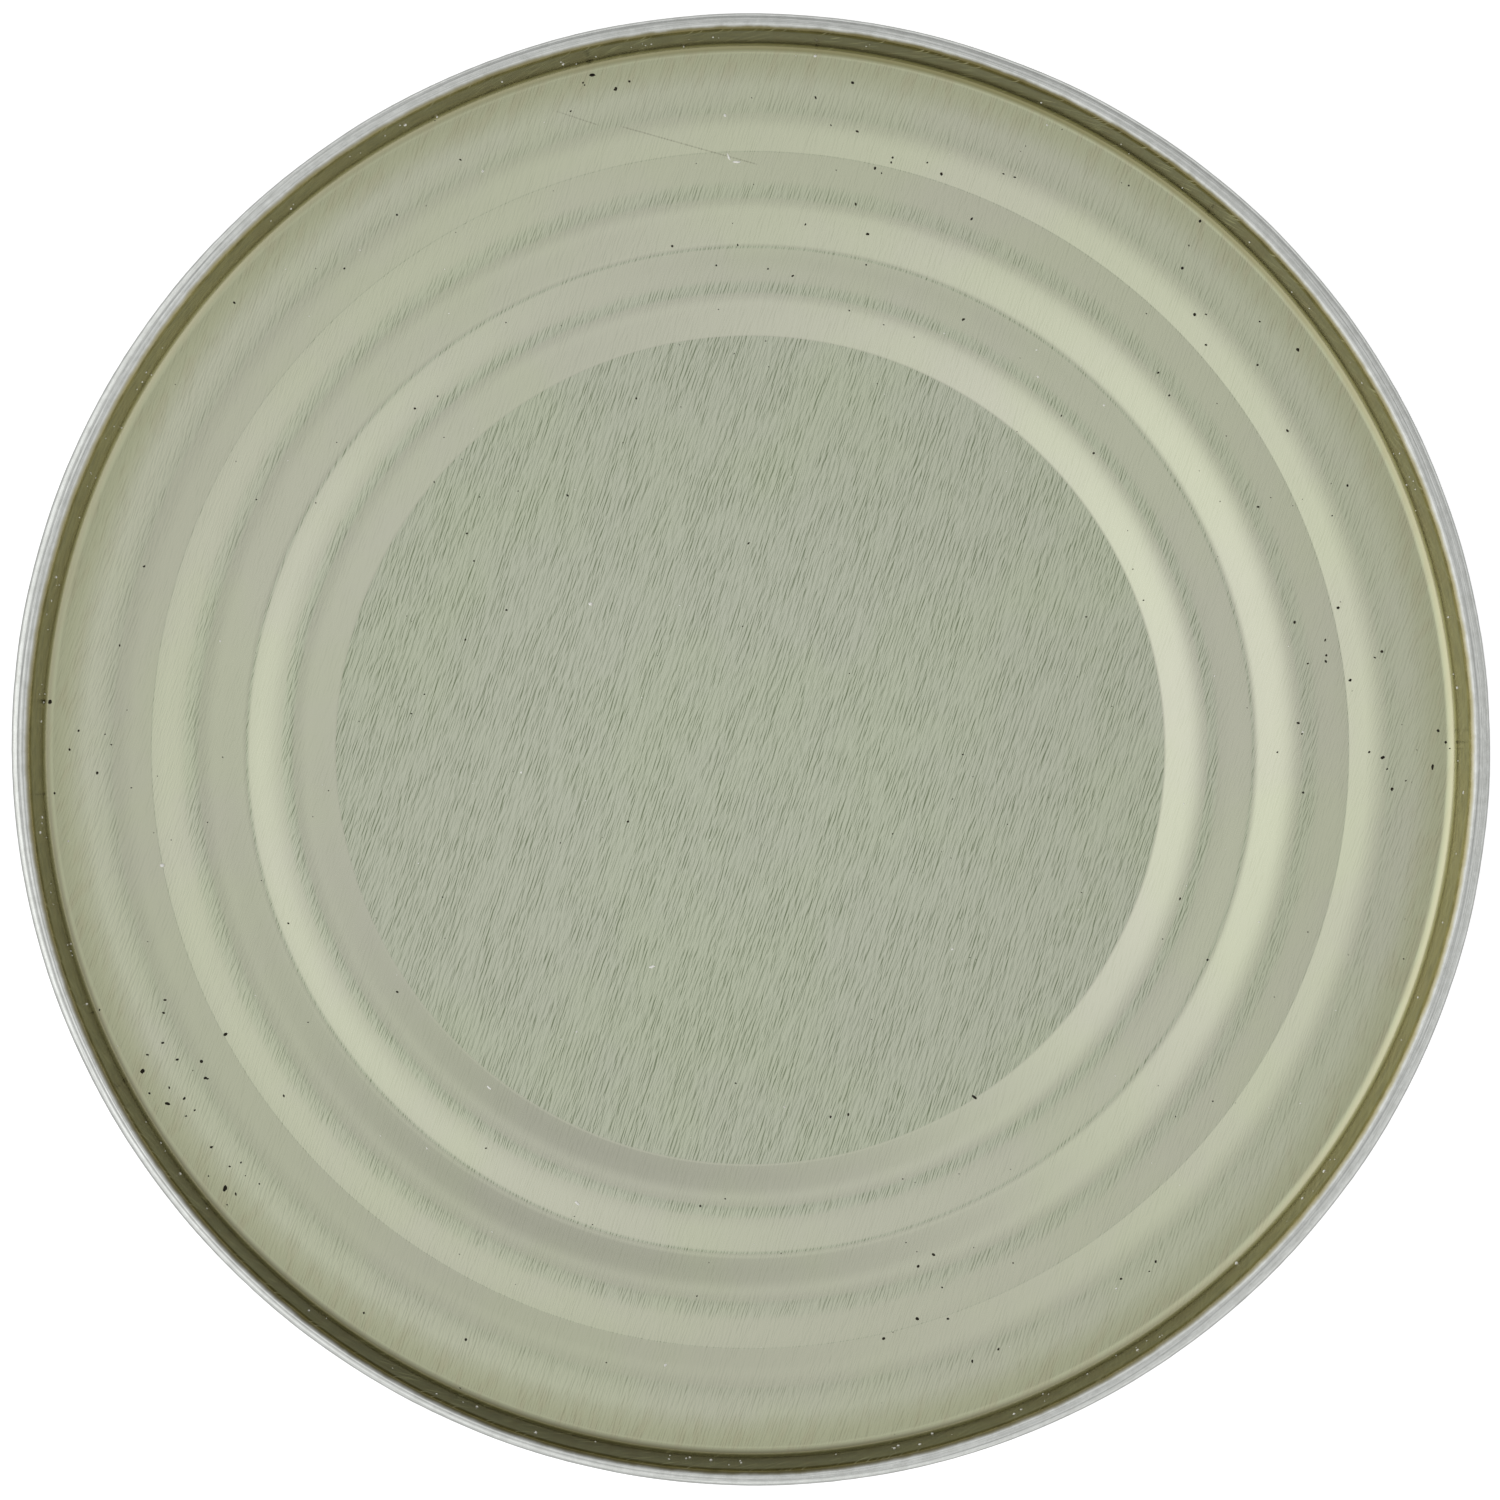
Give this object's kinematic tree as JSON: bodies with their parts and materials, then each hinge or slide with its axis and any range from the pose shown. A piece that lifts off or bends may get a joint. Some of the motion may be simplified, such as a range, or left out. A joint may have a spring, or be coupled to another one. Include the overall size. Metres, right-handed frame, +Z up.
{
  "type": "can of legume soup",
  "caption": "Shut round steel food can with a beaded side, a stamped beaded end seamed on at the top and the bottom, and no label.",
  "frame": {"origin": "centre of the foot, in the plane that the bottom seam stands on", "axes": "+Z up along the can's axis, +Y towards the top edge of the view from above, +X to its right"},
  "size_m": [0.0762, 0.0762, 0.11],
  "materials": {
    "body_sheet": "satin",
    "end_sheet": "satin"
  },
  "bodies": {
    "root": {"can_body": "body_sheet", "top_end": "end_sheet", "bottom_end": "end_sheet"}
  },
  "joints": []
}
